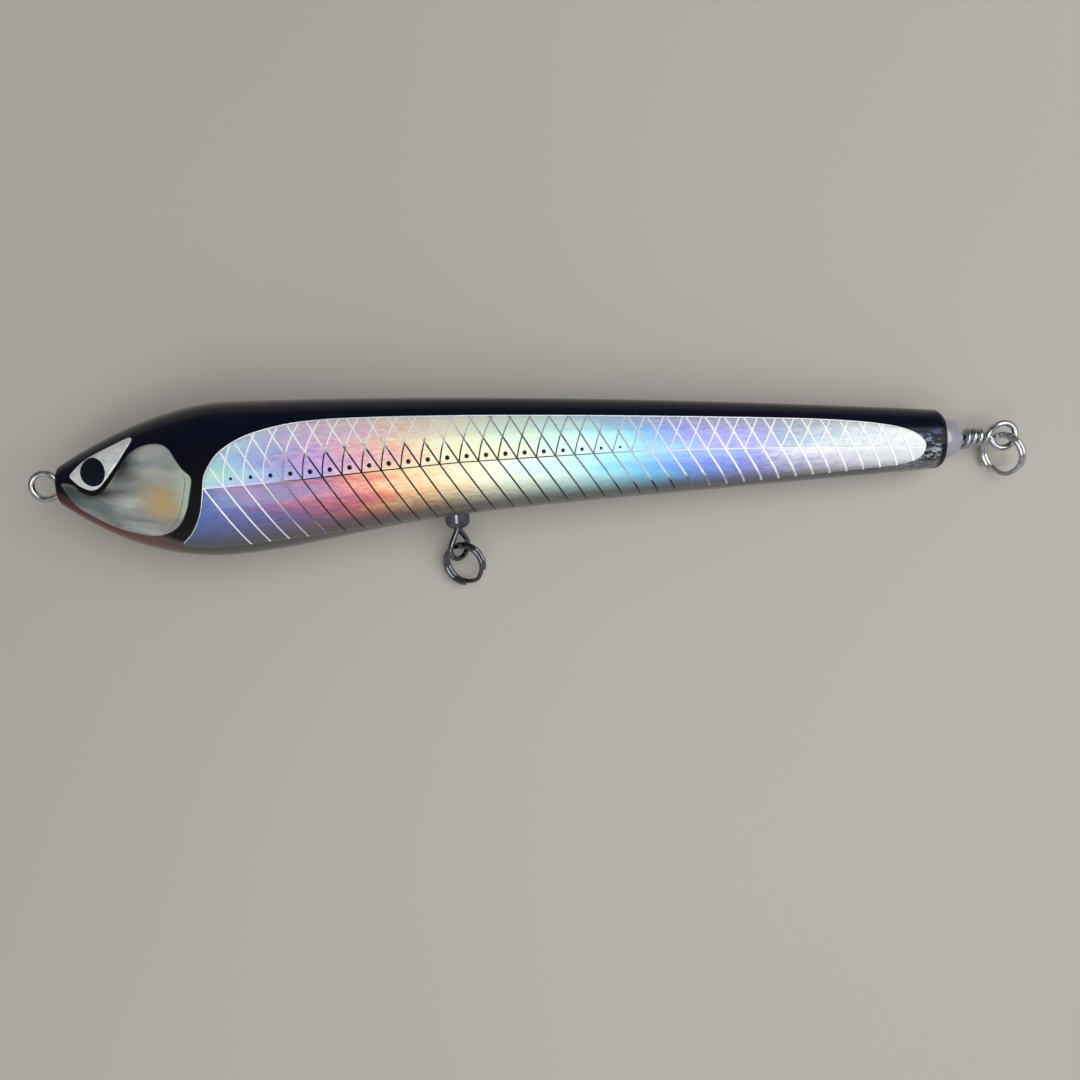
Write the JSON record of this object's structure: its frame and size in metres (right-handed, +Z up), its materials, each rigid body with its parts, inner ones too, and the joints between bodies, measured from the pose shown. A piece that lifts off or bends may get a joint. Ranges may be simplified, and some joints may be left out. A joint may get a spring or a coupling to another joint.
{
  "type": "diving pencil fishing lure",
  "caption": "Long tapered wooden topwater lure with foil flanks, pearl gill plates, a wire nose eye, a belly swivel and split rings for hooks.",
  "frame": {"origin": "on the floor under the middle of the part's box, with the lure lying on its right flank", "axes": "+X from nose to tail, +Y towards the back, +Z up out of the left flank"},
  "size_m": [0.2409, 0.0473, 0.0298],
  "materials": {
    "painted_wood": "gloss clear coat",
    "holographic_foil": "gloss holographic",
    "pearl_shell": "pearl",
    "eye_white": "gloss",
    "pupil_black": "gloss",
    "stainless_wire": "polished",
    "black_nickel": "polished dark plate",
    "lead": "cast",
    "pearl_grey_metal": "pearl gloss"
  },
  "bodies": {
    "lure_body": {"left_body_half": "painted_wood", "right_body_half": "painted_wood", "nose_eye": "stainless_wire", "through_wire": "stainless_wire", "tail_eye": "stainless_wire", "front_ballast": "lead", "rear_ballast": "lead", "tail_weight": "pearl_grey_metal", "left_flank_foil": "holographic_foil", "right_flank_foil": "holographic_foil", "left_gill_shell": "pearl_shell", "right_gill_shell": "pearl_shell", "left_eye_shell": "eye_white", "right_eye_shell": "eye_white", "left_pupil": "pupil_black", "right_pupil": "pupil_black"},
    "swivel_anchor": {"swivel_upper_eye": "black_nickel"},
    "swivel_drum": {"swivel_barrel": "black_nickel"},
    "swivel_end": {"swivel_lower_eye": "black_nickel"},
    "belly_ring": {"belly_split_ring": "black_nickel"},
    "tail_ring": {"tail_split_ring": "stainless_wire"}
  },
  "joints": [
    {"name": "swivel_swing", "type": "hinge", "parent": "lure_body", "child": "swivel_anchor", "pos_m": [-0.01971, 0.00602, 0.01268], "axis": [0.9991, 0, -0.0435], "range_deg": [-14, 0]},
    {"name": "barrel_spin", "type": "hinge", "parent": "swivel_anchor", "child": "swivel_drum", "pos_m": [-0.01989, -0.00464, 0.00859], "axis": [-0.0156, -0.9336, -0.358], "continuous": true},
    {"name": "eye_spin", "type": "hinge", "parent": "swivel_drum", "child": "swivel_end", "pos_m": [-0.01989, -0.00464, 0.00859], "axis": [-0.0156, -0.9336, -0.358], "continuous": true},
    {"name": "belly_ring_swing", "type": "hinge", "parent": "swivel_end", "child": "belly_ring", "pos_m": [-0.02009, -0.01669, 0.00397], "axis": [-0.3854, -0.3248, 0.8637], "range_deg": [-106, 28]},
    {"name": "tail_ring_swing", "type": "hinge", "parent": "lure_body", "child": "tail_ring", "pos_m": [0.11619, 0.0031, 0.00603], "axis": [-0.7508, -0.2817, 0.5975], "range_deg": [-54, 64]}
  ]
}
